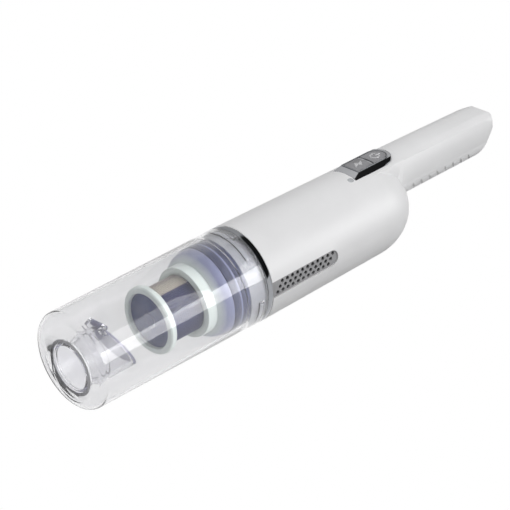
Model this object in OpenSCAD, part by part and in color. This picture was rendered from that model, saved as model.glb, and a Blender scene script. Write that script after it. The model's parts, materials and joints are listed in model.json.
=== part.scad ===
// Cordless handheld vacuum: a clear dust cup in front, a barrel with motor and battery, a handle behind.
// Millimetres. Every piece is drawn on the tool's own axis, with the station along it counted from the
// nose, and placed() then stands the tool on its round underside, buttons up.

/* [Overall] */
// Diameter at the trim ring, the widest place
body_d = 70; // [64:1:90]
// Length of the clear dust cup
cup_l = 142; // [130:1:175]
// Width of the trim ring
ring_l = 4.2; // [3:0.1:8]
// Length of the barrel, from the trim ring to the end of its domed back
barrel_l = 152.3; // [150:0.1:200]
// Length of the handle behind the barrel
handle_l = 92.5; // [70:1:130]

/* [Dust cup] */
// Diameter of the cup at the nose
nose_d = 68.5; // [60:0.5:76]
// Radius that rounds the nose
nose_round = 5; // [2:0.5:8]
// Wall of the cup
cup_wall = 2; // [1.5:0.1:2.5]
// Bore of the inlet socket that takes a nozzle
inlet_d = 31; // [24:0.5:34]
// Depth of the inlet socket to its stop
inlet_depth = 20; // [12:1:24]
// Wall of the inlet duct
duct_wall = 2; // [1.2:0.1:3]
// How far the inlet lies below the tool's axis
inlet_drop = 4; // [0:0.5:8]
// Length of the duct along its top
duct_top_l = 26; // [24:1:34]
// Length of the duct along its bottom
duct_bottom_l = 44; // [38:1:48]

/* [Flap valve] */
// Thickness of the rubber flap
flap_t = 1.6; // [1:0.1:2.5]
// Diameter of the flap's hinge pin
pin_d = 2; // [1.5:0.1:3]
// Width of the flap's hinge barrel
knuckle_w = 10; // [6:0.5:14]

/* [Bayonet] */
// Width of a lug, in degrees round the axis
lug_angle = 28; // [15:1:30]
// Twist that unlocks the cup, in degrees
twist_angle = 35; // [30:1:45]
// Depth of a slot from the cup's open end
slot_depth = 7.4; // [6:0.1:10]
// Width of a slot's locking leg
leg_w = 4; // [3:0.1:5]
// How far a lug stands out of the collar
lug_h = 1.9; // [1.2:0.1:2.2]

/* [Filter] */
// Length of the filter, from its front rim to its seat
filter_l = 55.8; // [48:0.1:66]
// Diameter of the filter's front rim
filter_rim_d = 48; // [44:0.5:52]
// Diameter of the mesh sleeve
mesh_d = 40; // [34:0.5:42]
// Number of pleats in the paper
pleat_count = 36; // [20:1:48]
// Length of the spigot that seats in the bulkhead
spigot_l = 4; // [3:0.1:6]

/* [Barrel] */
// Diameter of the barrel where its domed back starts
barrel_back_d = 67.2; // [60:0.1:80]
// Length of the barrel's domed back
dome_back_l = 39; // [36:0.5:44]
// Wall of the barrel and the handle
shell_wall = 2.4; // [2:0.1:3]
// Length of a vent slot
vent_l = 61; // [50:1:64]
// Height of a vent slot
vent_h = 11.6; // [10:0.1:14]
// Diameter of a hole in the grille
vent_hole_d = 2.7; // [2:0.1:2.9]
// Pitch of the holes along a row
vent_pitch = 4.75; // [4:0.05:4.8]
// Holes in a row
vent_columns = 11; // [6:1:11]

/* [Handle] */
// Width of the handle
handle_w = 26.6; // [24:0.2:34]
// Height of the handle
handle_h = 35; // [32:0.5:40]
// Radius of the roll at the top of the tip
tip_round = 7; // [5:0.5:12]
// Slope of the handle's top towards the tip, in degrees
handle_taper = 1.4; // [0.5:0.1:2.5]

/* [Buttons] */
// Width of the button panel at its foot
panel_w = 22; // [20:0.2:26]
// Length of the button panel
panel_l = 41.5; // [38:0.5:48]
// Distance from the button panel's end to the barrel's end
panel_gap = 7; // [4:0.5:10]
// How far the panel stands above the barrel
panel_rise = 1.6; // [1:0.1:2.5]
// Travel of a button
button_travel = 0.8; // [0.4:0.1:1]

/* [Motor] */
// Diameter of the impeller
impeller_d = 39; // [32:0.5:44]
// Number of blades on the impeller
blade_count = 9; // [5:1:13]
// Diameter of the motor's can
can_d = 30; // [28:0.5:34]
// Length of the motor's can
can_l = 30; // [28:0.5:32]
// Diameter of the motor shaft
shaft_d = 3.2; // [2:0.1:4]

/* [Battery] */
// Diameter of a cell
cell_d = 18.4; // [14:0.1:19]
// Length of a cell
cell_l = 65; // [50:0.5:66]

/* [Hidden] */
$fn = 96;

// Clearances: between pieces that move past each other, and between pieces fixed together
move_gap = 0.4;
seat_gap = 0.05;
run_gap = 0.05;
// Distance that a cutter reaches past the face it cuts
past = 1;

// Stations along the axis
body_r = body_d / 2;
ring_end = cup_l + ring_l;
barrel_end = ring_end + barrel_l;
tip_end = barrel_end + handle_l;
shoulder_s = barrel_end - dome_back_l;
overall_l = tip_end;

// Dust cup and bayonet
nose_r = nose_d / 2;
nose_flat_r = nose_r - nose_round;
collar_r = body_r - 3.7;
socket_r = collar_r + move_gap;
slot_r = collar_r + lug_h + move_gap;
slot_end = cup_l - slot_depth;
cup_back = cup_l - 0.3;
lug_count = 3;
lug_play = 2;
slot_angle = lug_angle + 2 * lug_play;
// Angles round the axis are counted from straight down, through the tool's +Y side
lock_start = 160;
function cup_r(s) = nose_r + (body_r - nose_r) * (s - nose_round) / (cup_l - nose_round);

// Inlet duct and flap
duct_r = inlet_d / 2 + duct_wall;
duct_bore_r = inlet_d / 2 - 1;
duct_top_z = duct_r - inlet_drop;
duct_slant = atan((duct_bottom_l - duct_top_l) / (2 * duct_r));
duct_face_l = 2 * duct_r / cos(duct_slant);
pin_r = pin_d / 2;
knuckle_r = pin_r + 1;
ear_w = 2.5;
pin_x = knuckle_r + 0.1 - 0.9;
pin_z = knuckle_r + 0.5;
flap_gap = 0.3;

// Filter: everything is counted back from the seat on the bulkhead
seat_s = cup_l - 20.2;
filter_s = seat_s - filter_l;
rim_r = filter_rim_d / 2;
mesh_r = mesh_d / 2;
mesh_t = 0.6;
cap_l = 5;
neck_r = mesh_r + 5;
neck_s = seat_s - 24.8;
dome_s = seat_s - 17.8;
skirt_s = seat_s - 7.8;
dome_l = skirt_s - dome_s;
skirt_r = cup_r(skirt_s) - cup_wall - 1.4;
seal_r = cup_r(skirt_s) - cup_wall - move_gap;
spigot_r = rim_r;
frame_bore_r = mesh_r - 1.6;

// Bulkhead
web_s = seat_s + spigot_l + 1;
web_t = 3;
air_r = 16;
post_pitch_r = collar_r - 4.3;
screw_r = 1.2;
screw_head_r = 2.2;
screw_head_l = 2.2;
post_r = 2.6;
motor_s = ring_end + 3.8;

// Barrel
back_r = barrel_back_d / 2;
function barrel_r(s) = body_r + (back_r - body_r) * (s - ring_end) / (shoulder_s - ring_end);
vent_rows = 3;
vent_row_gap = 3.3;
grille_inset = 1;
grille_t = 1.2;
vent_first = 9.6;
foam_t = 1.6;
back_flat_r = 1;
dome_steps = 14;

// Handle
handle_top = back_r - 0.15;
handle_bottom = handle_top - handle_h;
seam_z = sqrt(handle_top * handle_top - handle_w * handle_w / 4) - 0.4;
handle_start = shoulder_s - 2;
cover_s = barrel_end - panel_gap + 3;
plan_round = 3;
end_arc_r = 27;
// The side and plan outlines reach this far past the cross-section, so that no two faces only touch
view_gap = 0.3;
plan_half = handle_w / 2 - plan_round + view_gap;
plan_turn = asin(plan_half / (end_arc_r - plan_round));
plan_s = tip_end - end_arc_r + (end_arc_r - plan_round) * cos(plan_turn);
crown_r = 16;
crown_lean = 20;
heel_round = 5;
nib_round = 3;
nib_angle = 25;
end_slope = 72;
heel_back = 21.5;
roll_centre = [tip_end - nib_round - (tip_round - nib_round) * cos(nib_angle),
    handle_top - tip_round + view_gap - (tip_end - tip_round - cover_s) * tan(handle_taper)];
rib_start = 7;
rib_count = 8;
rib_pitch = 8.2;
rib_tilt = 32;
rib_slant = 30;
rib_r = 1.2;
rib_l = 10;

// Button panel
panel_end = barrel_end - panel_gap;
panel_s = panel_end - panel_l;
panel_r = panel_w / 2;
panel_flare = 2.4;
panel_top = handle_top + panel_rise;
panel_foot = panel_top - 8;
flare_foot = panel_top - 4;
slope_l = 5;
field_s = panel_s + slope_l + 1.2;
field_end = panel_end - 3.2;
field_r = panel_r - panel_flare - 0.9;
button_gap = 0.3;
button_rise = 0.5;
divider_s = field_s + 15;
divider_w = 1.6;
divider_r = 22;
mode_s = (field_s + divider_s) / 2;
power_s = (divider_s + divider_w + field_end) / 2;
button_t = 3.4;
board_t = 1.2;
board_z = panel_foot - 1.6;
switch_w = 4.6;
switch_h = 2.2;
plunger_h = 0.8;
trim_w = 0.7;
trim_t = 0.4;
lens_r = 2.2;
lens_s = panel_s - lens_r - 0.6;
lens_tilt = 15;

// Motor
shroud_r = impeller_d / 2 + 2.5;
shroud_t = 1;
gasket_t = 2.5;
shroud_s = motor_s + gasket_t;
shroud_l = 16;
eye_r = 10.5;
wheel_s = shroud_s + 3.5;
wheel_l = 8;
diffuser_s = shroud_s + 13;
can_s = diffuser_s + 5;
can_r = can_d / 2;
can_t = 1;
can_end = can_s + can_l;
shaft_r = shaft_d / 2;
bearing_r = shaft_r + 3.1;
bearing_l = 3.5;
core_r = can_r - 4.4;
core_s = can_s + 6;
core_l = can_l - 13;
screw_count = 3;
pole_count = 7;
vane_count = 9;
bell_l = 4.5;

// Battery and boards
cell_r = cell_d / 2;
cell_gap = 0.5;
cell_end = barrel_end - 25.3;
cell_s = cell_end - cell_l;
cell_step = 120;
cell_pitch_r = (cell_r + cell_gap / 2) / sin(cell_step / 2);
board_level = cell_pitch_r / 2 + cell_r + 1.3;
tray_end_r = 24;
strip_t = 0.3;
main_board_w = 40;
socket_w = 9;
socket_h = 3.3;
socket_l = 7.6;
socket_z = -8;
socket_end = barrel_end - 1.6;

// Points of an arc about c, from angle a0 to a1
function arc(c, r, a0, a1, n = 8) =
    [for (i = [0:n]) c + r * [cos(a0 + (a1 - a0) * i / n), sin(a0 + (a1 - a0) * i / n)]];

// Stands the tool on its underside, with the origin below the middle of its length
module placed() translate([-overall_l / 2, 0, body_r]) children();

// A solid turned about the tool's axis, from points of radius and station
module turned(points) rotate([0, 90, 0]) rotate_extrude() polygon(points);

// A round bar or a tube along the axis
module bar(s, l, r, y = 0, z = 0) translate([s, y, z]) rotate([0, 90, 0]) cylinder(r = r, h = l);
module tube(s, l, r_out, r_in) difference() {
    bar(s, l, r_out);
    bar(s - past, l + 2 * past, r_in);
}

// A stretch of a ring, from angle a over a width w in degrees
module ring_part(s, l, r_in, r_out, a, w)
    translate([s, 0, 0]) rotate([0, 90, 0]) rotate([0, 0, a]) rotate_extrude(angle = w)
        translate([r_in, 0]) square([r_out - r_in, l]);

// Places a child at equal steps round the axis
module round_axis(count, start = 0) for (i = [0:count - 1])
    rotate([start + i * 360 / count, 0, 0]) children();

// ---- Dust cup ----
module cup_outline() {
    r_in = cup_r(seat_s) - cup_wall;
    turned(concat(
        [[0, 0]],
        arc([nose_flat_r, nose_round], nose_round, -90, 0),
        [[body_r, cup_back], [socket_r, cup_back], [socket_r, seat_s + 3.2], [r_in, seat_s + 2]],
        arc([nose_flat_r, nose_round], nose_round - cup_wall, 0, -90),
        [[0, cup_wall]]));
}

// The entry stops a little short of the leg's end and floor, so that the two cuts share no face
module bayonet_slot() {
    ring_part(slot_end + leg_w / 2, slot_depth - leg_w / 2 + past, collar_r, slot_r - 0.1,
        lock_start + twist_angle - lug_play, slot_angle - 0.5);
    ring_part(slot_end, leg_w, collar_r, slot_r, lock_start - lug_play, slot_angle + twist_angle);
}

module nose_recess() translate([-past, 0, -inlet_drop]) rotate([0, 90, 0]) linear_extrude(past + 0.8) {
    circle(r = duct_r + 1);
    translate([0, -duct_r - 1]) square([6, 2 * duct_r + 2]);
    translate([6, 0]) circle(r = duct_r + 1);
}

module dust_cup() color([0.85, 0.87, 0.88, 0.35]) placed() difference() {
    cup_outline();
    bar(-past, cup_wall + 2 * past, duct_r + seat_gap, 0, -inlet_drop);
    nose_recess();
    round_axis(lug_count) bayonet_slot();
}

// Works in the plane of the duct's slanted back face, from its top edge
module on_slant() translate([duct_top_l, 0, duct_top_z]) rotate([0, -duct_slant, 0]) children();

module cross_pin(w, r) translate([pin_x, w / 2, pin_z]) rotate([90, 0, 0]) cylinder(r = r, h = w);

module inlet_duct() color([0.8, 0.82, 0.84, 0.45]) placed() difference() {
    union() {
        difference() {
            union() {
                bar(0.8, duct_bottom_l, duct_r, 0, -inlet_drop);
                bar(cup_wall, 2, duct_r + 2.5, 0, -inlet_drop);
            }
            on_slant() translate([0, -body_r, -body_d]) cube([body_d, body_d, 2 * body_d]);
        }
        for (side = [-1, 1]) on_slant() translate([0, side * (knuckle_w / 2 + 0.2 + ear_w / 2), 0]) {
            cross_pin(ear_w, knuckle_r);
            translate([-3, -ear_w / 2, -2.6]) cube([3, ear_w, 2.6 + pin_z]);
            translate([-3, -ear_w / 2, pin_z - knuckle_r]) cube([3 + pin_x, ear_w, 2 * knuckle_r]);
        }
    }
    bar(-past, inlet_depth + past, inlet_d / 2, 0, -inlet_drop);
    bar(0, body_d, duct_bore_r, 0, -inlet_drop);
    on_slant() cross_pin(knuckle_w + 4 * ear_w, pin_r + seat_gap / 2);
}

module flap_valve() color([0.12, 0.12, 0.14]) placed() difference() {
    union() {
        intersection() {
            on_slant() translate([flap_gap, -duct_r, -duct_face_l])
                cube([flap_t, 2 * duct_r, duct_face_l - 0.4]);
            bar(0, body_d, duct_r - 0.3, 0, -inlet_drop);
        }
        on_slant() {
            cross_pin(knuckle_w, knuckle_r);
            translate([flap_gap, -knuckle_w / 2, -2]) cube([flap_t, knuckle_w, 2 + pin_z]);
        }
    }
    on_slant() cross_pin(knuckle_w + 2, pin_r + run_gap);
}

module flap_pin() color("silver") placed() on_slant() cross_pin(knuckle_w + 0.4 + 2 * ear_w, pin_r);

// ---- Filter ----
module filter_end_cap() color([0.72, 0.76, 0.74]) placed() turned([
    [mesh_r - 0.4, filter_s], [rim_r - 1, filter_s], [rim_r, filter_s + 1], [rim_r, filter_s + cap_l - 1],
    [rim_r - 1, filter_s + cap_l], [mesh_r - 0.4, filter_s + cap_l]]);

module filter_end_disc() color([0.16, 0.2, 0.36]) placed() {
    bar(filter_s + 2.4, 2.6, mesh_r - 0.4 - seat_gap);
    bar(filter_s + 1.4, 1.1, 5);
}

module filter_mesh() color([0.78, 0.76, 0.72]) placed()
    tube(filter_s + cap_l, neck_s + 2 - filter_s - cap_l, mesh_r, mesh_r - mesh_t);

module filter_pleats() color([0.93, 0.9, 0.82]) placed()
    translate([filter_s + cap_l, 0, 0]) rotate([0, 90, 0]) linear_extrude(neck_s + 2 - filter_s - cap_l)
        difference() {
            polygon([for (i = [0:2 * pleat_count - 1])
                (i % 2 == 0 ? mesh_r - 1.2 : mesh_r - 5.5)
                    * [cos(180 * i / pleat_count), sin(180 * i / pleat_count)]]);
            circle(r = mesh_r - 7.5);
        }

module filter_frame() color([0.72, 0.76, 0.74]) placed() turned(concat(
    [[mesh_r + seat_gap, neck_s], [neck_r, neck_s], [neck_r, dome_s]],
    arc([skirt_r - dome_l, skirt_s], dome_l, -70, 0),
    [ [skirt_r - 1.3, skirt_s], [skirt_r - 1.3, seat_s - 2],
     [skirt_r, seat_s - 2], [skirt_r, seat_s - 0.2], [spigot_r - 0.3, seat_s - 0.2],
     [spigot_r - 0.3, seat_s + spigot_l], [spigot_r - 2.5, seat_s + spigot_l], [spigot_r - 2.5, seat_s - 2],
     [frame_bore_r, seat_s - 8], [frame_bore_r, neck_s + 2], [mesh_r + seat_gap, neck_s + 2]]));

module filter_seal() color([0.1, 0.13, 0.26]) placed() turned([
    [skirt_r - 1.3, skirt_s], [seal_r - 0.6, skirt_s], [seal_r, skirt_s + 1.5], [seal_r, skirt_s + 3.5],
    [seal_r - 0.6, seat_s - 2], [skirt_r - 1.3, seat_s - 2]]);

// ---- Bulkhead ----
module bulkhead() color([0.55, 0.57, 0.6]) placed() difference() {
    union() {
        turned([
            [rim_r, seat_s], [collar_r - 1.3, seat_s],
            [collar_r - 1.3, seat_s + 6.2], [collar_r, seat_s + 6.2],
            [collar_r, ring_end], [barrel_r(ring_end) - shell_wall - seat_gap, ring_end],
            [barrel_r(motor_s) - shell_wall - seat_gap, motor_s], [collar_r - 2.5, motor_s],
            [collar_r - 2.5, web_s + web_t], [air_r + 2, web_s + web_t],
            [air_r + 2, motor_s], [air_r, motor_s],
            [air_r, web_s], [rim_r, web_s]]);
        round_axis(lug_count) ring_part(slot_end + move_gap, leg_w - 2 * move_gap, collar_r - 1,
            collar_r + lug_h, lock_start, lug_angle);
        round_axis(screw_count, 60)
            bar(seat_s + 4, shroud_s - gasket_t - seat_s - 4, post_r, 0, post_pitch_r);
    }
    round_axis(screw_count, 60) {
        bar(seat_s - past, screw_head_l + 0.5 + past, screw_head_r + seat_gap, 0, post_pitch_r);
        bar(seat_s, motor_s, screw_r + seat_gap, 0, post_pitch_r);
    }
}

module cup_seal() color([0.1, 0.13, 0.26]) placed() turned([
    [collar_r - 1.3, seat_s + 0.2], [collar_r - 0.2, seat_s + 0.2], [collar_r + 0.1, seat_s + 2],
    [collar_r + 0.1, seat_s + 4], [collar_r - 0.2, seat_s + 6.1], [collar_r - 1.3, seat_s + 6.1]]);

module trim_ring() color([0.3, 0.31, 0.33]) placed() turned([
    [collar_r + seat_gap, cup_l], [body_r - 0.4, cup_l], [body_r, cup_l + 0.4],
    [body_r, ring_end - 0.3], [body_r - 0.3, ring_end], [collar_r + seat_gap, ring_end]]);

// ---- Barrel and handle ----
module barrel_solid(inset) turned(concat(
    [[0, ring_end - (inset > 0 ? past : 0)], [body_r - inset, ring_end - (inset > 0 ? past : 0)]],
    [for (i = [0:dome_steps]) let (a = 90 * i / dome_steps) [
        back_flat_r + (back_r - back_flat_r - inset) * cos(a), shoulder_s + (dome_back_l - inset) * sin(a)]],
    [[0, barrel_end - inset]]));

// Leans with the handle's top, from the front of its cover
module tapered() translate([cover_s, 0, 0]) rotate([0, handle_taper, 0])
    translate([-cover_s, 0, 0]) children();

module handle_side(inset) rotate([90, 0, 0]) linear_extrude(2 * body_d, center = true) polygon(concat(
    [[handle_start, handle_bottom - view_gap + inset], [handle_start, handle_top + view_gap - inset],
        [cover_s, handle_top + view_gap - inset]],
    arc(roll_centre, tip_round - inset, 90 - handle_taper, nib_angle),
    arc(roll_centre + (tip_round - nib_round) * [cos(nib_angle), sin(nib_angle)], nib_round - inset,
        nib_angle, end_slope - 90),
    arc([tip_end - heel_back, handle_bottom - view_gap + heel_round], heel_round - inset,
        end_slope - 90, -90)));

module handle_section(inset) rotate([90, 0, 90]) linear_extrude(2 * tip_end)
    intersection() {
        circle(r = handle_top - inset);
        union() {
            translate([0, handle_bottom + handle_w / 2]) circle(r = handle_w / 2 - inset);
            translate([inset - handle_w / 2, handle_bottom + handle_w / 2])
                square([handle_w - 2 * inset, handle_h]);
        }
    }

module handle_plan(inset) translate([0, 0, -body_d]) linear_extrude(2 * body_d) polygon(concat(
    [[handle_start, handle_w], [handle_start, -handle_w], [plan_s, -handle_w]],
    arc([plan_s, -plan_half], plan_round - inset, -90, -plan_turn),
    arc([tip_end - end_arc_r, 0], end_arc_r - inset, -plan_turn, plan_turn),
    arc([plan_s, plan_half], plan_round - inset, plan_turn, 90),
    [[plan_s, handle_w]]));

// Rounds the corners of the handle's top off towards its tip
module tip_crown(inset) translate([tip_end, 0, roll_centre[1] + tip_round - crown_r / cos(crown_lean)])
    rotate([0, crown_lean, 0]) {
        bar(-2 * handle_l, 3 * handle_l, crown_r - inset);
        translate([-2 * handle_l, 0.5 - crown_r + inset, -4 * handle_h])
            cube([3 * handle_l, 2 * crown_r - 1 - 2 * inset, 4 * handle_h + 3]);
    }

module handle_solid(inset) intersection() {
    handle_side(inset);
    handle_section(inset);
    handle_plan(inset);
    tapered() bar(handle_start - past, tip_end, handle_top - inset);
    tip_crown(inset);
}

module cover_zone(clear) tapered() translate([cover_s - clear, -handle_w, seam_z - clear])
    cube([handle_l * 2, 2 * handle_w, body_d]);

module panel_plan(clear) {
    translate([panel_s - clear, -panel_r - clear]) square([panel_l - panel_r + clear, panel_w + 2 * clear]);
    translate([panel_end - panel_r, 0]) circle(r = panel_r + clear);
}

module vent_prism(clear, side) rotate([90, 0, 0])
    translate([0, 0, side > 0 ? -body_r - past : body_r / 2]) linear_extrude(body_r / 2 + past) {
        translate([ring_end - clear, -vent_h / 2 - clear])
            square([vent_l - vent_h / 2 + clear, vent_h + 2 * clear]);
        translate([ring_end + vent_l - vent_h / 2, 0]) circle(r = vent_h / 2 + clear);
    }

// A round bar that points out of the barrel beside the front of the button panel
module lens_bar(r, from_r, to_r) translate([lens_s, 0, 0]) rotate([lens_tilt, 0, 0])
    translate([0, 0, from_r]) cylinder(r = r, h = to_r - from_r);

module finger_ribs() for (i = [0:rib_count - 1]) for (side = [-1, 1])
    translate([barrel_end + rib_start + i * rib_pitch, 0, handle_bottom + handle_w / 2])
        rotate([-side * rib_tilt, 0, 0]) translate([0, side * (handle_w / 2 + 0.4), 0])
            rotate([0, -rib_slant, 0])
            translate([0, 0, -rib_l / 2]) cylinder(r = rib_r, h = rib_l, $fn = 24);

module main_housing() color([0.92, 0.92, 0.93]) placed() difference() {
    union() {
        barrel_solid(0);
        handle_solid(0);
    }
    barrel_solid(shell_wall);
    handle_solid(shell_wall);
    cover_zone(0);
    translate([0, 0, panel_foot - seat_gap]) linear_extrude(body_d) panel_plan(seat_gap);
    for (side = [-1, 1]) vent_prism(seat_gap, side);
    translate([barrel_end - 2 * shell_wall - past, -socket_w / 2 - seat_gap,
        socket_z - socket_h / 2 - seat_gap])
        cube([2 * shell_wall + 2 * past, socket_w + 2 * seat_gap, socket_h + 2 * seat_gap]);
    lens_bar(lens_r + seat_gap, back_r / 2, body_r);
    finger_ribs();
}

module handle_cover() color([0.93, 0.93, 0.94]) placed() difference() {
    intersection() {
        union() {
            barrel_solid(0);
            handle_solid(0);
        }
        cover_zone(-seat_gap);
    }
    barrel_solid(shell_wall);
    handle_solid(shell_wall);
}

// ---- Vents ----
module vent_grille(side) color([0.5, 0.5, 0.51]) placed() difference() {
    intersection() {
        turned([
            [body_r - grille_inset - grille_t, ring_end], [body_r - grille_inset, ring_end],
            [back_r - grille_inset, shoulder_s], [back_r - grille_inset - grille_t, shoulder_s]]);
        vent_prism(-seat_gap, side);
    }
    for (row = [0:vent_rows - 1]) for (column = [0:vent_columns - 1])
        translate([ring_end + vent_first + (column - row / 2) * vent_pitch, 0, (1 - row) * vent_row_gap])
            rotate([side * -90, 0, 0]) cylinder(r = vent_hole_d / 2, h = body_r, $fn = 24);
}

module vent_grille_left() vent_grille(-1);

module vent_grille_right() vent_grille(1);

module exhaust_foam(side) color([0.08, 0.08, 0.08]) placed()
    let (r_out = barrel_r(ring_end + vent_l) - shell_wall - 0.2, w = 2 * asin((vent_h / 2 + 2) / r_out))
        ring_part(motor_s + 0.3, ring_end + vent_l + 2 - motor_s,
            r_out - foam_t, r_out, side * 90 - w / 2, w);

module exhaust_foam_left() exhaust_foam(-1);

module exhaust_foam_right() exhaust_foam(1);

// ---- Buttons ----
module field_plan(clear) {
    translate([field_s - clear, -field_r - clear])
        square([field_end - field_r - field_s + clear, 2 * (field_r + clear)]);
    translate([field_end - field_r, 0]) circle(r = field_r + clear);
}

module mode_plan(clear) intersection() {
    field_plan(-clear);
    translate([divider_s - divider_r, 0]) circle(r = divider_r - clear);
}

module power_plan(clear) difference() {
    field_plan(-clear);
    translate([divider_s - divider_r, 0]) circle(r = divider_r + divider_w + clear);
}

module button_housing() color([0.03, 0.03, 0.03]) placed() difference() {
    intersection() {
        translate([0, 0, panel_foot]) linear_extrude(body_r) panel_plan(0);
        rotate([90, 0, 0]) linear_extrude(body_d, center = true) polygon([
            [panel_s - past, panel_foot], [panel_end + past, panel_foot], [panel_end + past, panel_top],
            [panel_s + slope_l, panel_top], [panel_s - 1, barrel_r(panel_s) - 1.2]]);
        rotate([90, 0, 90]) linear_extrude(tip_end) polygon([
            [-panel_r - past, panel_foot - past], [panel_r + past, panel_foot - past],
            [panel_r + past, flare_foot], [panel_r, flare_foot], [panel_r - panel_flare, panel_top + 0.1],
            [panel_flare - panel_r, panel_top + 0.1], [-panel_r, flare_foot],
            [-panel_r - past, flare_foot]]);
    }
    translate([0, 0, panel_foot - past]) linear_extrude(body_r) {
        mode_plan(0);
        power_plan(0);
    }
}

module bezel_trim() color([0.75, 0.75, 0.77]) placed() translate([0, 0, panel_top + seat_gap])
    linear_extrude(trim_t) difference() {
        field_plan(trim_w);
        field_plan(0);
    }

module button_stem(s) translate([s, 0, board_z + board_t + switch_h + plunger_h + button_travel + seat_gap])
    cylinder(r = 1.5, h = 4);

module button_cap(s) {
    translate([0, 0, panel_top + button_rise - button_t]) linear_extrude(button_t) children();
    button_stem(s);
}

module mode_button() color([0.66, 0.66, 0.68]) placed() button_cap(mode_s) mode_plan(button_gap);

module power_button() color([0.66, 0.66, 0.68]) placed() button_cap(power_s) power_plan(button_gap);

module indicator_lens() color([0.9, 0.92, 0.95, 0.7]) placed()
    lens_bar(lens_r, barrel_r(lens_s) - shell_wall - 1, barrel_r(lens_s));

module button_board() color([0.1, 0.35, 0.2]) placed() translate([panel_s + 2, -panel_r + 1.5, board_z])
    cube([panel_l - 4, panel_w - 3, board_t]);

module tact_switches() color([0.2, 0.2, 0.2]) placed() for (s = [mode_s, power_s])
    translate([s, 0, board_z + board_t]) {
        translate([-switch_w / 2, -switch_w / 2, 0]) cube([switch_w, switch_w, switch_h]);
        cylinder(r = 1, h = switch_h + plunger_h);
    }

// ---- Motor ----
module motor_gasket() color([0.15, 0.15, 0.15]) placed()
    tube(motor_s + seat_gap, gasket_t - 2 * seat_gap, air_r + 3, air_r);

module impeller_shroud() color([0.78, 0.79, 0.8]) placed() difference() {
    turned([
        [eye_r, shroud_s], [post_pitch_r + post_r, shroud_s], [post_pitch_r + post_r, shroud_s + 2],
        [shroud_r, shroud_s + 2], [shroud_r, shroud_s + shroud_l],
        [shroud_r - shroud_t, shroud_s + shroud_l],
        [shroud_r - shroud_t, shroud_s + shroud_t], [eye_r, shroud_s + shroud_t]]);
    round_axis(screw_count, 60) bar(shroud_s - past, 2 + 2 * past, screw_r + seat_gap, 0, post_pitch_r);
}

// A curved vane that starts and ends on the circles r_in and r_out
module vane(s, l, r_in, r_out, t) {
    centre_r = (r_in + r_out) * 0.4;
    sweep_r = centre_r + 1;
    spread = 2 * centre_r * sweep_r;
    a_out = acos((r_out * r_out - centre_r * centre_r - sweep_r * sweep_r) / spread);
    a_in = acos((r_in * r_in - centre_r * centre_r - sweep_r * sweep_r) / spread);
    translate([s, 0, 0]) rotate([0, 90, 0]) translate([centre_r, 0, 0]) rotate([0, 0, a_out])
        rotate_extrude(angle = a_in - a_out) translate([sweep_r - t / 2, 0]) square([t, l]);
}

module impeller() color([0.2, 0.21, 0.23]) placed() {
    turned([
        [shaft_r + seat_gap, wheel_s], [4.5, wheel_s], [5.5, wheel_s + 3], [8, wheel_s + wheel_l - 2],
        [impeller_d / 2, wheel_s + wheel_l - 1], [impeller_d / 2, wheel_s + wheel_l],
        [shaft_r + seat_gap, wheel_s + wheel_l]]);
    round_axis(blade_count) vane(wheel_s, wheel_l - 0.5, 6.5, impeller_d / 2 - 0.3, 0.9);
}

module diffuser() color([0.3, 0.31, 0.33]) placed() {
    tube(diffuser_s, 1.2, shroud_r - shroud_t - seat_gap, shaft_r + 1.5);
    round_axis(vane_count)
        vane(diffuser_s + 1, can_s - diffuser_s - 1 - seat_gap, 12, shroud_r - shroud_t - 0.4, 1);
}

module motor_can() color([0.7, 0.7, 0.71]) placed() turned([
    [bearing_r, can_s], [can_r, can_s], [can_r, can_end], [can_r - can_t, can_end],
    [can_r - can_t, can_s + can_t], [bearing_r + 1.5, can_s + can_t],
    [bearing_r + 1.5, can_s + bearing_l], [bearing_r, can_s + bearing_l]]);

module motor_magnets() color([0.25, 0.25, 0.26]) placed() for (a = [20, 200])
    ring_part(core_s - 1, core_l + 2, can_r - can_t - 3, can_r - can_t - seat_gap, a, 140);

module motor_end_bell() color([0.9, 0.9, 0.88]) placed() turned([
    [bearing_r, can_end + seat_gap], [can_r, can_end + seat_gap], [can_r, can_end + 2],
    [bearing_r + 2, can_end + bell_l], [shaft_r + 0.6, can_end + bell_l],
    [shaft_r + 0.6, can_end + bearing_l + 0.3], [bearing_r, can_end + bearing_l + 0.3]]);

module bearing_front() color("silver") placed()
    tube(can_s, bearing_l, bearing_r - seat_gap / 2, shaft_r + run_gap);

module bearing_rear() color("silver") placed()
    tube(can_end + 0.2, bearing_l, bearing_r - seat_gap / 2, shaft_r + run_gap);

module carbon_brushes() color([0.1, 0.1, 0.1]) placed() for (side = [-1, 1])
    translate([can_end - 3, -1.5, side > 0 ? 4.8 : -9.8]) cube([3, 3, 5]);

module motor_cradle() color([0.2, 0.2, 0.2]) placed() let (s = can_s + 12, l = 7) {
    tube(s, l, can_r + 3, can_r + seat_gap);
    intersection() {
        round_axis(4, 45) translate([s, -2, can_r + 1]) cube([l, 4, body_r]);
        bar(s, l, barrel_r(s + l) - shell_wall - 0.2);
    }
}

module motor_screws() color("silver") placed() round_axis(screw_count, 60) {
    bar(seat_s + 0.5, screw_head_l, screw_head_r, 0, post_pitch_r);
    bar(seat_s + 0.5, shroud_s + 3 - seat_s, screw_r, 0, post_pitch_r);
}

module rotor_shaft() color("silver") placed()
    bar(wheel_s - 1.5, can_end + bearing_l + 0.3 - wheel_s + 1.5, shaft_r);

module rotor_core() color([0.45, 0.46, 0.48]) placed() difference() {
    tube(core_s, core_l, core_r, shaft_r + seat_gap);
    round_axis(pole_count) {
        bar(core_s - past, core_l + 2 * past, 1.8, 0, core_r - 3);
        translate([core_s - past, -0.5, core_r - 3]) cube([core_l + 2 * past, 1, 4]);
    }
}

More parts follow.
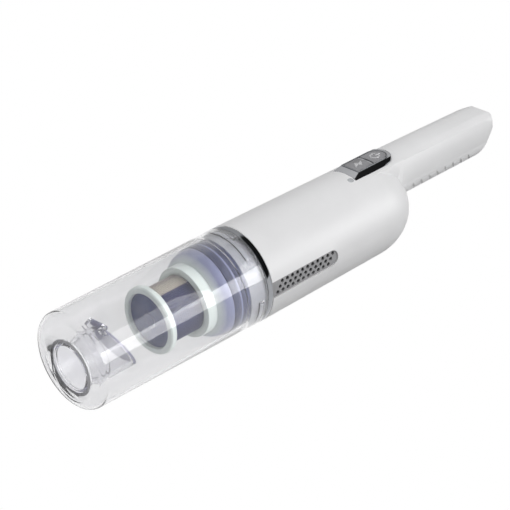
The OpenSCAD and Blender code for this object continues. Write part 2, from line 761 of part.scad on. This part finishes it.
module rotor_winding() color([0.72, 0.4, 0.2]) placed() {
    tube(core_s - 2.5, 2.45, core_r - 1, shaft_r + 1.2);
    tube(core_s + core_l + 0.05, 2.2, core_r - 1, shaft_r + 1.2);
    round_axis(pole_count) bar(core_s - 1, core_l + 2, 1.6, 0, core_r - 3);
}

module commutator() color([0.75, 0.45, 0.25]) placed()
    tube(can_end - 3.8, 3.6, shaft_r + 3, shaft_r + seat_gap);

// ---- Battery and boards ----
module battery_cell(a) color([0.2, 0.35, 0.6]) placed() rotate([a, 0, 0]) {
    bar(cell_s + 0.8, cell_l - 0.8, cell_r, 0, -cell_pitch_r);
    bar(cell_s, 1.5, cell_r / 2.4, 0, -cell_pitch_r);
}

module battery_cell_left() battery_cell(-cell_step);

module battery_cell_middle() battery_cell(0);

module battery_cell_right() battery_cell(cell_step);

module battery_tray() color([0.15, 0.15, 0.16]) placed() {
    for (end = [[cell_s - 2.2, back_r - shell_wall - 1.8], [cell_end + 0.6, tray_end_r]]) intersection() {
        bar(end[0], 1.2, end[1]);
        translate([end[0] - past, -body_r, -body_r])
            cube([1.2 + 2 * past, body_d, body_r + board_level - seat_gap]);
    }
    for (side = [-1, 1]) translate([cell_s - 2, side * 13 - 1.5, -12]) cube([cell_l + 3.5, 3, 3]);
}

module cell_strip(s, a) rotate([a, 0, 0])
    translate([s, -cell_r * 1.2, -cell_pitch_r * cos(cell_step / 2) - 3]) cube([strip_t, cell_r * 2.4, 6]);

module cell_strips() color("silver") placed() {
    cell_strip(cell_s - strip_t - seat_gap, -cell_step / 2);
    cell_strip(cell_end + seat_gap, cell_step / 2);
}

module main_board() color([0.08, 0.4, 0.2]) placed()
    translate([cell_s - 2.2, -main_board_w / 2, board_level]) cube([cell_l + 4, main_board_w, board_t]);

module board_parts() color([0.25, 0.25, 0.27]) placed()
    translate([cell_s, 0, board_level + board_t + seat_gap]) {
    translate([10, -9, 0]) cylinder(r = 5, h = 5);
    translate([10, 9, 0]) cylinder(r = 4, h = 8);
    translate([24, -6, 0]) cube([9, 12, 1.6]);
    translate([44, -14, 0]) cube([8, 6, 5]);
    translate([44, 6, 0]) cube([10, 7, 2.4]);
}

module charging_socket() color("silver") placed()
    translate([socket_end - socket_l, 0, socket_z]) difference() {
    translate([0, -socket_w / 2, -socket_h / 2]) cube([socket_l, socket_w, socket_h]);
    translate([1, -socket_w / 2 + 0.35, -socket_h / 2 + 0.35])
        cube([socket_l, socket_w - 0.7, socket_h - 0.7]);
}

module charging_board() color([0.08, 0.4, 0.2]) placed()
    translate([socket_end - socket_l - board_t, -8, socket_z - 6]) cube([board_t - seat_gap, 16, 12]);

dust_cup();
inlet_duct();
flap_valve();
flap_pin();
filter_end_cap();
filter_end_disc();
filter_mesh();
filter_pleats();
filter_frame();
filter_seal();
bulkhead();
cup_seal();
trim_ring();
main_housing();
handle_cover();
vent_grille_left();
vent_grille_right();
exhaust_foam_left();
exhaust_foam_right();
button_housing();
bezel_trim();
mode_button();
power_button();
indicator_lens();
button_board();
tact_switches();
motor_gasket();
impeller_shroud();
diffuser();
motor_can();
motor_magnets();
motor_end_bell();
bearing_front();
bearing_rear();
carbon_brushes();
motor_cradle();
motor_screws();
impeller();
rotor_shaft();
rotor_core();
rotor_winding();
commutator();
battery_cell_left();
battery_cell_middle();
battery_cell_right();
battery_tray();
cell_strips();
main_board();
board_parts();
charging_socket();
charging_board();
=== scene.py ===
import json
import math

import bpy
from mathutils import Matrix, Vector

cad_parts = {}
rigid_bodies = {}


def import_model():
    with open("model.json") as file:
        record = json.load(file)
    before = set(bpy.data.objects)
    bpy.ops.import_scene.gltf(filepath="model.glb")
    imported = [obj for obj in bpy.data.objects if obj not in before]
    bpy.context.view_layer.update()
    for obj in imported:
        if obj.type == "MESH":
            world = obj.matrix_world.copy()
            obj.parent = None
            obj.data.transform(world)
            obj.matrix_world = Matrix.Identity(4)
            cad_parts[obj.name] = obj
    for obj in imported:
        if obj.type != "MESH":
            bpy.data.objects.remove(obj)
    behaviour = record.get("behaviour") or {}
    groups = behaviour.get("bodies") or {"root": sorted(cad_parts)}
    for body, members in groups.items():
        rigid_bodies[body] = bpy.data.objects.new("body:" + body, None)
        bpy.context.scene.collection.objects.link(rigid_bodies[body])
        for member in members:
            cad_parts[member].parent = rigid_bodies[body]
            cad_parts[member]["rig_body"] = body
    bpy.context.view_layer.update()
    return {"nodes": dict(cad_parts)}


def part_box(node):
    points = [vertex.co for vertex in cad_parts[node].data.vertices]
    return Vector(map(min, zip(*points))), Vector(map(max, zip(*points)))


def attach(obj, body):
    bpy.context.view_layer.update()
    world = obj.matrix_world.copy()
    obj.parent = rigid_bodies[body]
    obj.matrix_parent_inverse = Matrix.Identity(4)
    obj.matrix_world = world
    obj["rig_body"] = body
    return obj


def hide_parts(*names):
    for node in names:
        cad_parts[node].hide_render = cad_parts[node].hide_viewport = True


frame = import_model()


# ---- Studio ----
# A white sweep under a pale sky. The softbox is only mirrored and the other two lamps only light. A dark
# flag in the sky gives plated parts their black band. The sky is white where it is seen straight or
# through clear plastic.

def linear(colour):
    """The linear colour that sockets take, from an sRGB hex value."""
    parts = [int(colour[i:i + 2], 16) / 255 for i in (1, 3, 5)]
    return [(c / 12.92 if c <= 0.04045 else ((c + 0.055) / 1.055) ** 2.4) for c in parts] + [1.0]


def node(tree, kind, inputs=(), **settings):
    """Adds a node with its own settings, and sets or links each of its inputs."""
    made = tree.nodes.new("ShaderNode" + kind)
    for name, value in settings.items():
        setattr(made, name, value)
    for name, value in dict(inputs).items():
        if isinstance(value, bpy.types.NodeSocket):
            tree.links.new(value, made.inputs[name])
        else:
            made.inputs[name].default_value = value
    return made


bpy.context.scene.view_settings.view_transform = "Standard"
camera = bpy.data.objects.new("camera", bpy.data.cameras.new("camera"))
bpy.context.scene.collection.objects.link(camera)
bpy.context.scene.camera = camera
camera.location = (-0.9144, -1.0214, 0.7927)
camera.rotation_euler = [math.radians(a) for a in (60.841, 4.215, -43.154)]
camera.data.lens = 162.35
camera.data.sensor_width = 36.0
camera.data.clip_start, camera.data.clip_end = 0.05, 50.0

flag_way = Vector((0.57, -0.49, 0.66)).normalized()
flag_edge = (math.cos(math.radians(52)), math.cos(math.radians(44)))
flag_dark = 0.03
sky_low, sky_high = 0.42, 0.72
floor_share = 0.1
world = bpy.data.worlds.new("studio")
bpy.context.scene.world = world
world.use_nodes = True
sky = world.node_tree
sky.nodes.clear()
way = node(sky, "TexCoord").outputs["Generated"]
facing = node(sky, "VectorMath", {0: way, 1: flag_way}, operation="DOT_PRODUCT").outputs["Value"]
flag = node(sky, "MapRange", {"Value": facing, "From Min": flag_edge[0], "From Max": flag_edge[1],
                              "To Min": 1.0, "To Max": flag_dark}, interpolation_type="SMOOTHSTEP")
height = node(sky, "SeparateXYZ", {0: way}).outputs["Z"]
dome = node(sky, "MapRange", {"Value": height, "From Min": -0.2, "From Max": 0.9,
                              "To Min": sky_low, "To Max": sky_high})
dimmed = node(sky, "Math", {0: flag.outputs["Result"], 1: dome.outputs["Result"]}, operation="MULTIPLY")
rays = node(sky, "LightPath")
through = node(sky, "Math", {0: rays.outputs["Transmission Depth"], 1: rays.outputs["Is Glossy Ray"]},
               operation="MULTIPLY", use_clamp=True)
clear_way = node(sky, "Math", {0: through.outputs[0], 1: rays.outputs["Is Transmission Ray"]},
                 operation="MAXIMUM")
straight = node(sky, "Math", {0: rays.outputs["Is Camera Ray"], 1: clear_way.outputs[0]},
                operation="MAXIMUM")
strength = node(sky, "Mix", {"Factor": straight.outputs[0], "A": dimmed.outputs[0], "B": 1.0})
ground = node(sky, "Background", {"Color": linear("#FFFFFF"), "Strength": strength.outputs["Result"]})
node(sky, "OutputWorld", {"Surface": ground.outputs[0]})

middle = Vector((0.0, 0.0, 0.035))
plated = bpy.data.collections.new("plated_parts")
for name, turn, rise, reach, size, power, mirrored in (
        ("softbox", 35.0, 10.0, 1.6, (1.8, 0.72), 24.0, True),
        ("key_light", 24.0, 30.0, 2.4, (1.8, 1.3), 41.0, False),
        ("top_light", 150.0, 62.0, 1.8, (1.2, 1.2), 3.0, False)):
    lamp = bpy.data.objects.new(name, bpy.data.lights.new(name, "AREA"))
    bpy.context.scene.collection.objects.link(lamp)
    lamp.data.shape = "RECTANGLE"
    lamp.data.size, lamp.data.size_y = size
    lamp.data.energy = power
    a, e = math.radians(turn), math.radians(rise)
    back = Vector((math.sin(a) * math.cos(e), -math.cos(a) * math.cos(e), math.sin(e)))
    lamp.location = middle + reach * back
    lamp.rotation_euler = back.to_track_quat("Z", "Y").to_euler()
    lamp.visible_glossy, lamp.visible_diffuse = mirrored, not mirrored
    if mirrored:
        lamp.light_linking.receiver_collection = plated


def unlit(piece):
    """Keeps the softbox off a plated piece, which mirrors the flag and the sky instead."""
    plated.objects.link(piece)
    plated.collection_objects[-1].light_linking.link_state = "EXCLUDE"


bpy.ops.object.select_all(action="DESELECT")
bpy.ops.mesh.primitive_plane_add(size=8.0, location=(0, 0, -0.0002))
floor = bpy.context.object
floor.name = "floor"
paper = bpy.data.materials.new("white_sweep_paper")
paper.use_nodes = True
paper.node_tree.nodes.clear()
sweep = paper.node_tree
glow = node(sweep, "MapRange", {"Value": node(sweep, "LightPath").outputs["Is Diffuse Ray"],
                                "To Min": 1.0, "To Max": floor_share})
lit = node(sweep, "Emission", {"Color": linear("#FFFFFF"), "Strength": glow.outputs["Result"]})
node(sweep, "OutputMaterial", {"Surface": lit.outputs[0]})
floor.data.materials.append(paper)


# ---- Barrel shell and handle cover ----
# Injection-moulded white ABS with a satin spark finish. The cover snaps into the top of the handle, and the
# moulds leave every rim slightly rounded, so the seam between them reads as a fine V-groove.

def bare(name):
    """An empty node material."""
    made = bpy.data.materials.new(name)
    made.use_nodes = True
    made.node_tree.nodes.clear()
    return made


def mottled(name, dark, light, blotch, rough, bump=0.0, grit=0.0004, **shader):
    """A finish whose colour and roughness drift over blotches of a size in metres, with a fine grit."""
    made = bare(name)
    tree = made.node_tree
    place = node(tree, "TexCoord").outputs["Object"]
    drift = node(tree, "TexNoise", {"Vector": place, "Scale": 1 / blotch, "Detail": 3.0, "Roughness": 0.6})
    tint = node(tree, "ValToRGB", {"Fac": drift.outputs["Fac"]})
    tint.color_ramp.elements[0].position, tint.color_ramp.elements[1].position = 0.3, 0.7
    tint.color_ramp.elements[0].color, tint.color_ramp.elements[1].color = linear(dark), linear(light)
    gloss = node(tree, "MapRange", {"Value": drift.outputs["Fac"], "From Min": 0.3, "From Max": 0.7,
                                    "To Min": rough[0], "To Max": rough[1]})
    fine = node(tree, "TexNoise", {"Vector": place, "Scale": 1 / grit, "Detail": 2.0})
    relief = node(tree, "Bump", {"Height": fine.outputs["Fac"], "Strength": bump, "Distance": grit / 4})
    values = {"Base Color": tint.outputs["Color"], "Roughness": gloss.outputs["Result"],
              "Normal": relief.outputs["Normal"]}
    values.update({key.replace("_", " "): value for key, value in shader.items()})
    body = node(tree, "BsdfPrincipled", values)
    node(tree, "OutputMaterial", {"Surface": body.outputs[0]})
    return made


def coat(finish, *names):
    """Gives CAD nodes a finish in place of their plain one."""
    for name in names:
        for spot in frame["nodes"][name].material_slots:
            spot.material = finish


def softened(name, source, width, finish, steps=2, sharp=35.0):
    """A copy of a CAD node's solid with its sharp edges rounded. It rides and stands where the node does."""
    piece = bpy.data.objects.new(name, frame["nodes"][source].data.copy())
    bpy.context.scene.collection.objects.link(piece)
    bpy.ops.object.select_all(action="DESELECT")
    piece.select_set(True)
    bpy.context.view_layer.objects.active = piece
    bpy.ops.mesh.customdata_custom_splitnormals_clear()
    bpy.ops.object.mode_set(mode="EDIT")
    bpy.ops.mesh.select_all(action="SELECT")
    bpy.ops.mesh.remove_doubles(threshold=2e-6)
    bpy.ops.mesh.dissolve_limited(angle_limit=math.radians(0.3))
    bpy.ops.object.mode_set(mode="OBJECT")
    rim = piece.modifiers.new("rounded_rims", "BEVEL")
    rim.width, rim.segments = width, steps
    rim.limit_method, rim.angle_limit = "ANGLE", math.radians(sharp)
    rim.harden_normals = True
    bpy.ops.object.modifier_apply(modifier=rim.name)
    bpy.ops.object.shade_smooth_by_angle(angle=math.radians(sharp))
    piece.data.materials.clear()
    piece.data.materials.append(finish)
    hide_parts(source)
    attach(piece, frame["nodes"][source]["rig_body"])
    return piece


white_abs = mottled("moulded_white_abs", "#E8E8E9", "#ECECED", 0.03, (0.46, 0.52), bump=0.12,
                    IOR=1.53, Specular_IOR_Level=0.5)
for piece, source in (("barrel_shell", "main_housing"), ("handle_top", "handle_cover")):
    softened(piece, source, 0.0005, white_abs)


# ---- Trim ring ----
# A turned band with a dark chrome plate, pressed on the front of the barrel. Both edges are rolled over.

axis_z = 0.035
nose_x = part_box("dust_cup")[0][0]


def turned(name, outline, steps=192, start=0.0, angle=360.0):
    """A solid turned about the tool's axis. The outline is stations and radii in millimetres. Start and
    angle are degrees round the axis, from straight down through the +Y side."""
    bpy.ops.object.select_all(action="DESELECT")
    full = angle >= 360
    bpy.ops.mesh.primitive_circle_add(vertices=len(outline), radius=0.01,
                                      fill_type="NOTHING" if full else "NGON", location=(0, 0, 0))
    piece = bpy.context.object
    piece.name = name
    a = math.radians(start)
    for corner, (station, radius) in zip(piece.data.vertices, outline):
        r = radius / 1000
        corner.co = (nose_x + station / 1000, r * math.sin(a), axis_z - r * math.cos(a))
    bpy.ops.object.mode_set(mode="EDIT")
    bpy.ops.mesh.select_all(action="SELECT")
    bpy.ops.mesh.spin(steps=steps, angle=math.radians(angle), center=(0, 0, axis_z), axis=(-1, 0, 0))
    bpy.ops.mesh.select_all(action="SELECT")
    bpy.ops.mesh.remove_doubles(threshold=1e-6)
    bpy.ops.mesh.normals_make_consistent(inside=False)
    bpy.ops.object.mode_set(mode="OBJECT")
    return piece


def rounded(piece, width, steps=3, sharp=30.0):
    """Rounds a piece's sharp edges and shades it smooth between what is left sharp."""
    bpy.ops.object.select_all(action="DESELECT")
    piece.select_set(True)
    bpy.context.view_layer.objects.active = piece
    if width:
        rim = piece.modifiers.new("rounded_rims", "BEVEL")
        rim.width, rim.segments = width, steps
        rim.limit_method, rim.angle_limit = "ANGLE", math.radians(sharp)
        bpy.ops.object.modifier_apply(modifier=rim.name)
    bpy.ops.object.shade_smooth_by_angle(angle=math.radians(sharp))
    return piece


dark_chrome = mottled("dark_chrome_plate", "#9A9CA0", "#A3A5A9", 0.02, (0.07, 0.12), bump=0.02, Metallic=1.0)
band = turned("ring_band", [(142.0, 31.4), (142.0, 34.4), (142.3, 34.85), (142.8, 35.0), (145.3, 35.0),
                            (145.7, 34.9), (145.95, 34.6), (146.2, 34.5), (146.2, 31.4)], steps=256)
rounded(band, 0.0)
band.data.materials.append(dark_chrome)
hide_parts("trim_ring")
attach(band, "body")
unlit(band)


# ---- Dust cup ----
# Injection-moulded clear polycarbonate, polished inside and out. Three bayonet slots are sunk in the
# inside of its thick back rim, and the nose has a shallow oval recess round the inlet.

def clear_plastic(name, tint, rough, clarity, ior):
    """Clear plastic with faint smears and a milky rest. Lamps shine through it and light what is behind."""
    made = bare(name)
    tree = made.node_tree
    place = node(tree, "TexCoord").outputs["Object"]
    smear = node(tree, "TexNoise", {"Vector": place, "Scale": 60.0, "Detail": 4.0, "Roughness": 0.65})
    haze = node(tree, "MapRange", {"Value": smear.outputs["Fac"], "From Min": 0.35, "From Max": 0.75,
                                   "To Min": rough[0], "To Max": rough[1]})
    body = node(tree, "BsdfPrincipled", {"Base Color": linear(tint), "Roughness": haze.outputs["Result"],
                                         "IOR": ior, "Transmission Weight": clarity})
    clear = node(tree, "BsdfTransparent", {"Color": linear(tint)})
    shade = node(tree, "LightPath").outputs["Is Shadow Ray"]
    mixed = node(tree, "MixShader", {0: shade, 1: body.outputs[0], 2: clear.outputs[0]})
    node(tree, "OutputMaterial", {"Surface": mixed.outputs[0]})
    return made


def arc(station, radius, r, start, end, count=10):
    """Points of an outline's round corner."""
    turns = [math.radians(start + (end - start) * i / count) for i in range(count + 1)]
    return [(station - r * math.cos(t), radius + r * math.sin(t)) for t in turns]


def cut(piece, *cutters):
    """Cuts solids out of a piece."""
    for cutter in cutters:
        tool = piece.modifiers.new("cut", "BOOLEAN")
        tool.operation, tool.object, tool.solver = "DIFFERENCE", cutter, "EXACT"
        bpy.context.view_layer.objects.active = piece
        bpy.ops.object.modifier_apply(modifier=tool.name)
        bpy.data.objects.remove(cutter)


def oval_bar(name, front, back, radius, top, low):
    """A bar along the tool with an upright oval section, from one station to another."""
    bpy.ops.object.select_all(action="DESELECT")
    bpy.ops.mesh.primitive_cylinder_add(vertices=96, radius=radius / 1000, depth=(back - front) / 1000,
                                        rotation=(0, math.pi / 2, 0),
                                        location=(nose_x + (front + back) / 2000, 0, axis_z + top / 1000))
    piece = bpy.context.object
    piece.name = name
    bpy.ops.object.transform_apply()
    for corner in piece.data.vertices:
        if corner.co.z < axis_z + top / 1000 - 1e-7:
            corner.co.z += (low - top) / 1000
    return piece


# The IOR is set below the real 1.58, and the duct's below its real 1.59, which softens their rims
clear_pc = clear_plastic("polished_clear_polycarbonate", "#ECECED", (0.0, 0.05), 0.97, 1.4)
shell = turned("cup_shell", [(0.0, 0.0)] + arc(5.0, 29.25, 5.0, 0, 90) +
               [(141.3, 35.0), (141.7, 34.6), (141.7, 31.7), (125.0, 31.7), (123.8, 32.89)] +
               arc(5.0, 29.25, 3.0, 90, 0) + [(2.0, 0.0)])
cut(shell, oval_bar("recess", -2.0, 0.8, 18.5, -4.0, -10.0),
    oval_bar("socket_hole", -2.0, 6.0, 17.55, -4.0, -4.0))
for lug in range(3):
    cut(shell,
        turned("slot_entry", [(136.3, 31.3), (143.0, 31.3), (143.0, 33.5), (136.3, 33.5)], 12,
               193.0 + 120 * lug, 31.5),
        turned("slot_leg", [(134.3, 31.3), (138.3, 31.3), (138.3, 33.6), (134.3, 33.6)], 20,
               158.0 + 120 * lug, 67.0))
rounded(shell, 0.00025, 2, 40.0)
shell.data.materials.append(clear_pc)
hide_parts("dust_cup")
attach(shell, "cup")


# ---- Inlet duct and flap ----
# The duct is a clear moulding, a little smoky, that drops into the nose. A flap of smoky silicone rubber
# hangs over its slanted back end on a steel pin.

smoky_pc = clear_plastic("smoky_clear_styrene", "#F0F0F2", (0.08, 0.16), 0.96, 1.25)
black_rubber = mottled("moulded_black_rubber", "#1B1B1E", "#25252A", 0.006, (0.55, 0.7), bump=0.3)
steel = mottled("drawn_steel", "#B4B5B7", "#C6C7C9", 0.004, (0.22, 0.34), bump=0.1, Metallic=1.0)
grey_silicone = clear_plastic("smoky_silicone_rubber", "#8F8FA6", (0.3, 0.45), 0.55, 1.41)
coat(smoky_pc, "inlet_duct")
coat(grey_silicone, "flap_valve")
coat(black_rubber, "motor_gasket", "motor_cradle")
coat(steel, "flap_pin", "motor_screws", "rotor_shaft", "bearing_front", "bearing_rear", "motor_can",
     "rotor_core", "cell_strips", "charging_socket")


# ---- Filter ----
# A pleated paper core in a woven steel sleeve, between a pale end ring with a navy disc and a pale frame.
# A navy lip seal runs round the skirt.

# Used for the skirt's two-shot colour, and for a painted reflection in navy on the filter sleeve and paper
def two_tone_and_painted_reflection(finish, way, place, fade, second):
    """Gives a finish a second colour past a place along a direction, fading over a length in metres."""
    tree = finish.node_tree
    at = node(tree, "TexCoord").outputs["Object"]
    along = node(tree, "VectorMath", {0: at, 1: way}, operation="DOT_PRODUCT").outputs["Value"]
    past = node(tree, "MapRange", {"Value": along, "From Min": place, "From Max": place + fade})
    body = next(n for n in tree.nodes if n.bl_idname == "ShaderNodeBsdfPrincipled")
    first = body.inputs["Base Color"].links[0].from_socket
    both = node(tree, "Mix", {"Factor": past.outputs["Result"]}, data_type="RGBA")
    colour_a, colour_b, colour_out = both.inputs[6], both.inputs[7], both.outputs[2]
    tree.links.new(first, colour_a)
    colour_b.default_value = linear(second)
    tree.links.new(colour_out, body.inputs["Base Color"])


filter_shell = mottled("moulded_sage_abs", "#C3CCC8", "#CBD3CF", 0.02, (0.35, 0.45), bump=0.1)
filter_navy = mottled("moulded_navy_abs", "#1B2A5E", "#223268", 0.01, (0.35, 0.45), bump=0.1)
navy_rubber = mottled("moulded_navy_rubber", "#161F44", "#1D2750", 0.008, (0.45, 0.6), bump=0.2)
paper_felt = mottled("pleated_filter_paper", "#E9E1CC", "#F3ECDA", 0.004, (0.85, 0.95), bump=0.5)
skirt_tone = mottled("two_shot_sage_and_slate_abs", "#C3CCC8", "#CBD3CF", 0.02, (0.3, 0.4), bump=0.1)
two_tone_and_painted_reflection(skirt_tone, (1, 0, 0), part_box("filter_frame")[0][0] + 0.0068, 0.005, "#6F7494")
woven_steel = mottled("woven_steel_wire", "#A7A3A4", "#BDB7B0", 0.003, (0.3, 0.42), bump=0.05, Metallic=0.6)
# The half of the sleeve and paper that faces -Y and a little down is painted navy, which is a painted
# reflection and not a colour the wire or paper has. The other half is champagne
for cloth in (woven_steel, paper_felt):
    two_tone_and_painted_reflection(cloth, (0, -0.951, -0.309), -0.309 * axis_z, 0.0006, "#3A3F6B")
for piece, source, finish, place in (("filter_nose_ring", "filter_end_cap", filter_shell, "filter_shell"),
                                     ("filter_neck", "filter_frame", skirt_tone, "filter_shell"),
                                     ("filter_disc", "filter_end_disc", filter_navy, "filter_navy"),
                                     ("filter_lip", "filter_seal", navy_rubber, "navy_rubber")):
    softened(piece, source, 0.0003, finish)
coat(navy_rubber, "cup_seal")
coat(paper_felt, "filter_pleats")

# A real sleeve is woven finer. This is as coarse as it needs to be to show.
sleeve_low, sleeve_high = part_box("filter_mesh")
sleeve_r = (sleeve_high[2] - sleeve_low[2]) / 2
wire_r, upright_pairs, hoop_pairs = 0.00018, 44, 9
hoop_step = (sleeve_high[0] - sleeve_low[0]) / (2 * hoop_pairs)
weave_r = sleeve_r - 2 * wire_r
for phase in (0, 1):
    bpy.ops.object.select_all(action="DESELECT")
    bpy.ops.mesh.primitive_torus_add(major_segments=6 * upright_pairs, minor_segments=5,
                                     major_radius=weave_r, minor_radius=wire_r,
                                     rotation=(0, math.pi / 2, 0), location=(0, 0, 0))
    hoop = bpy.context.object
    hoop.name = "woven_hoops" + str(phase)
    bpy.ops.object.transform_apply()
    for corner in hoop.data.vertices:
        turn = math.atan2(corner.co.y, corner.co.z)
        wave = 0.9 * wire_r * math.cos(turn * upright_pairs + math.pi * phase)
        corner.co.y += wave * math.sin(turn)
        corner.co.z += wave * math.cos(turn) + axis_z
        corner.co.x += sleeve_low[0] + hoop_step * (phase + 0.5)
    repeat = hoop.modifiers.new("repeat", "ARRAY")
    repeat.count, repeat.use_relative_offset, repeat.use_constant_offset = hoop_pairs, False, True
    repeat.constant_offset_displace = (2 * hoop_step, 0, 0)
    bpy.ops.object.modifier_apply(modifier=repeat.name)
    bpy.ops.object.select_all(action="DESELECT")
    bpy.ops.mesh.primitive_grid_add(x_subdivisions=8 * hoop_pairs, y_subdivisions=5, size=1.0,
                                    location=(0, 0, 0))
    wire = bpy.context.object
    wire.name = "woven_uprights" + str(phase)
    tilt = math.pi * phase / upright_pairs
    for corner in wire.data.vertices:
        along, round_wire = corner.co.x + 0.5, 2 * math.pi * (corner.co.y + 0.5)
        station = along * hoop_step * 2 * hoop_pairs
        wave = 0.9 * wire_r * math.cos(math.pi * (station / hoop_step - 0.5) + math.pi * phase + math.pi)
        out = weave_r + wave + wire_r * math.cos(round_wire)
        side = wire_r * math.sin(round_wire)
        corner.co = (sleeve_low[0] + station, out * math.sin(tilt) + side * math.cos(tilt),
                     axis_z + out * math.cos(tilt) - side * math.sin(tilt))
    bpy.ops.object.mode_set(mode="EDIT")
    bpy.ops.mesh.select_all(action="SELECT")
    bpy.ops.mesh.remove_doubles(threshold=1e-6)
    bpy.ops.mesh.fill_holes(sides=8)
    bpy.ops.mesh.normals_make_consistent(inside=False)
    bpy.ops.mesh.select_all(action="SELECT")
    bpy.ops.mesh.spin(steps=upright_pairs, dupli=True, angle=2 * math.pi, center=(0, 0, axis_z),
                      axis=(-1, 0, 0))
    bpy.ops.mesh.select_all(action="SELECT")
    bpy.ops.mesh.remove_doubles(threshold=1e-7)
    bpy.ops.object.mode_set(mode="OBJECT")
    for strand in (hoop, wire):
        rounded(strand, 0.0, 0, 70.0)
        strand.data.materials.append(woven_steel)
        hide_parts("filter_mesh")
        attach(strand, "filter")


# ---- Bulkhead ----
# The grey wall between cup and motor, with the collar and lugs that the cup locks on.

bulkhead_abs = mottled("moulded_grey_abs", "#8E9096", "#989AA0", 0.02, (0.35, 0.45), bump=0.1)
coat(bulkhead_abs, "bulkhead", "motor_end_bell")


# ---- Vents ----
# Grey moulded grilles, set a millimetre into the shell's slots, with open-cell foam behind.

grille_grey = mottled("moulded_grille_grey", "#959597", "#9D9D9F", 0.01, (0.4, 0.5), bump=0.15)
foam = mottled("open_cell_foam", "#0C0C0C", "#1A1A1A", 0.0015, (0.9, 1.0), bump=1.0)
coat(grille_grey, "vent_grille_left", "vent_grille_right")
coat(foam, "exhaust_foam_left", "exhaust_foam_right")


# ---- Button panel ----
# A housing plated in black chrome, two silver-painted buttons, and a small light window beside it.

black_chrome = mottled("black_chrome_plate", "#BFC0C4", "#C7C8CB", 0.02, (0.05, 0.1),
                       bump=0.02, Metallic=1.0)
silver_paint = mottled("silver_painted_abs", "#9C9C9F", "#A8A8AB", 0.0008, (0.28, 0.4),
                       bump=0.15, Metallic=0.6)
light_guide = mottled("milky_light_guide", "#DDE0E4", "#E6E9EC", 0.004, (0.15, 0.25),
                      Transmission_Weight=0.4)
board_green = mottled("green_solder_mask", "#0E4424", "#17562F", 0.003, (0.3, 0.5), bump=0.2)
dark_abs = mottled("moulded_dark_abs", "#2C2D31", "#38393D", 0.01, (0.4, 0.55), bump=0.1)
for piece, source, width, finish, place in (
        ("panel_housing", "button_housing", 0.0004, black_chrome, "gloss_black"),
        ("mode_cap", "mode_button", 0.0004, silver_paint, "silver_button"),
        ("power_cap", "power_button", 0.0004, silver_paint, "silver_button")):
    softened(piece, source, width, finish, 3)
unlit(bpy.data.objects["panel_housing"])
coat(dark_chrome, "bezel_trim")
coat(light_guide, "indicator_lens")
coat(board_green, "button_board", "main_board", "charging_board")
coat(dark_abs, "tact_switches", "diffuser", "carbon_brushes", "impeller", "battery_tray", "board_parts")


mark_sunk, mark_deep = 0.00015, 0.0004


def mark(name, outline, source, body):
    """A flat mark that stands 0.25 mm out of a button. Its outline is in millimetres from the middle."""
    low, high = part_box(source)
    x, z = (low[0] + high[0]) / 2, high[2]
    bpy.ops.object.select_all(action="DESELECT")
    bpy.ops.mesh.primitive_circle_add(vertices=len(outline), radius=0.01, fill_type="NGON",
                                      location=(0, 0, 0))
    piece = bpy.context.object
    piece.name = name
    for corner, (along, across) in zip(piece.data.vertices, outline):
        corner.co = (x + along / 1000, across / 1000, z - mark_sunk)
    bpy.ops.object.mode_set(mode="EDIT")
    bpy.ops.mesh.select_all(action="SELECT")
    bpy.ops.mesh.extrude_region_move(TRANSFORM_OT_translate={"value": (0, 0, mark_deep)})
    bpy.ops.mesh.select_all(action="SELECT")
    bpy.ops.mesh.normals_make_consistent(inside=False)
    bpy.ops.object.mode_set(mode="OBJECT")
    rounded(piece, 0.0001, 2)
    piece.data.materials.append(mark_silver)
    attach(piece, body)
    return piece


# The marks are bare of paint and brighter than the caps
mark_silver = mottled("bright_silver_mark", "#D0D0D2", "#DADADC", 0.002, (0.2, 0.3), bump=0.05, Metallic=0.5)
mark("mode_bolt", [(-5.0, -2.6), (-0.8, 3.4), (0.4, 0.6), (5.0, 2.6), (0.8, -3.4), (-0.4, -0.6)],
     "mode_button", "mode_key")
ring_out = [(3.9 * math.cos(math.radians(a)), 3.9 * math.sin(math.radians(a))) for a in range(35, 326, 10)]
ring_in = [(2.7 * math.cos(math.radians(a)), 2.7 * math.sin(math.radians(a))) for a in range(325, 34, -10)]
mark("power_arc", ring_out + ring_in, "power_button", "power_key")
mark("power_bar", [(0.6, -0.6), (5.0, -0.6), (5.0, 0.6), (0.6, 0.6)], "power_button", "power_key")


# ---- Motor and battery ----
# A spun aluminium shroud round the impeller, a steel can with ferrite magnets, a copper-wound armature, and
# three wrapped cells.

aluminium = mottled("spun_aluminium", "#C9CBCD", "#D6D8DA", 0.006, (0.25, 0.35), bump=0.1, Metallic=1.0)
ferrite = mottled("sintered_ferrite", "#2A2A2C", "#353537", 0.003, (0.6, 0.75), bump=0.3)
copper = mottled("enamelled_copper", "#B4683A", "#C67B48", 0.002, (0.25, 0.35), bump=0.2, Metallic=1.0)
cell_wrap = mottled("shrink_wrap_pvc", "#2F5E9C", "#386AAA", 0.01, (0.25, 0.35), bump=0.05)
coat(aluminium, "impeller_shroud")
coat(ferrite, "motor_magnets")
coat(copper, "rotor_winding", "commutator")
coat(cell_wrap, "battery_cell_left", "battery_cell_middle", "battery_cell_right")
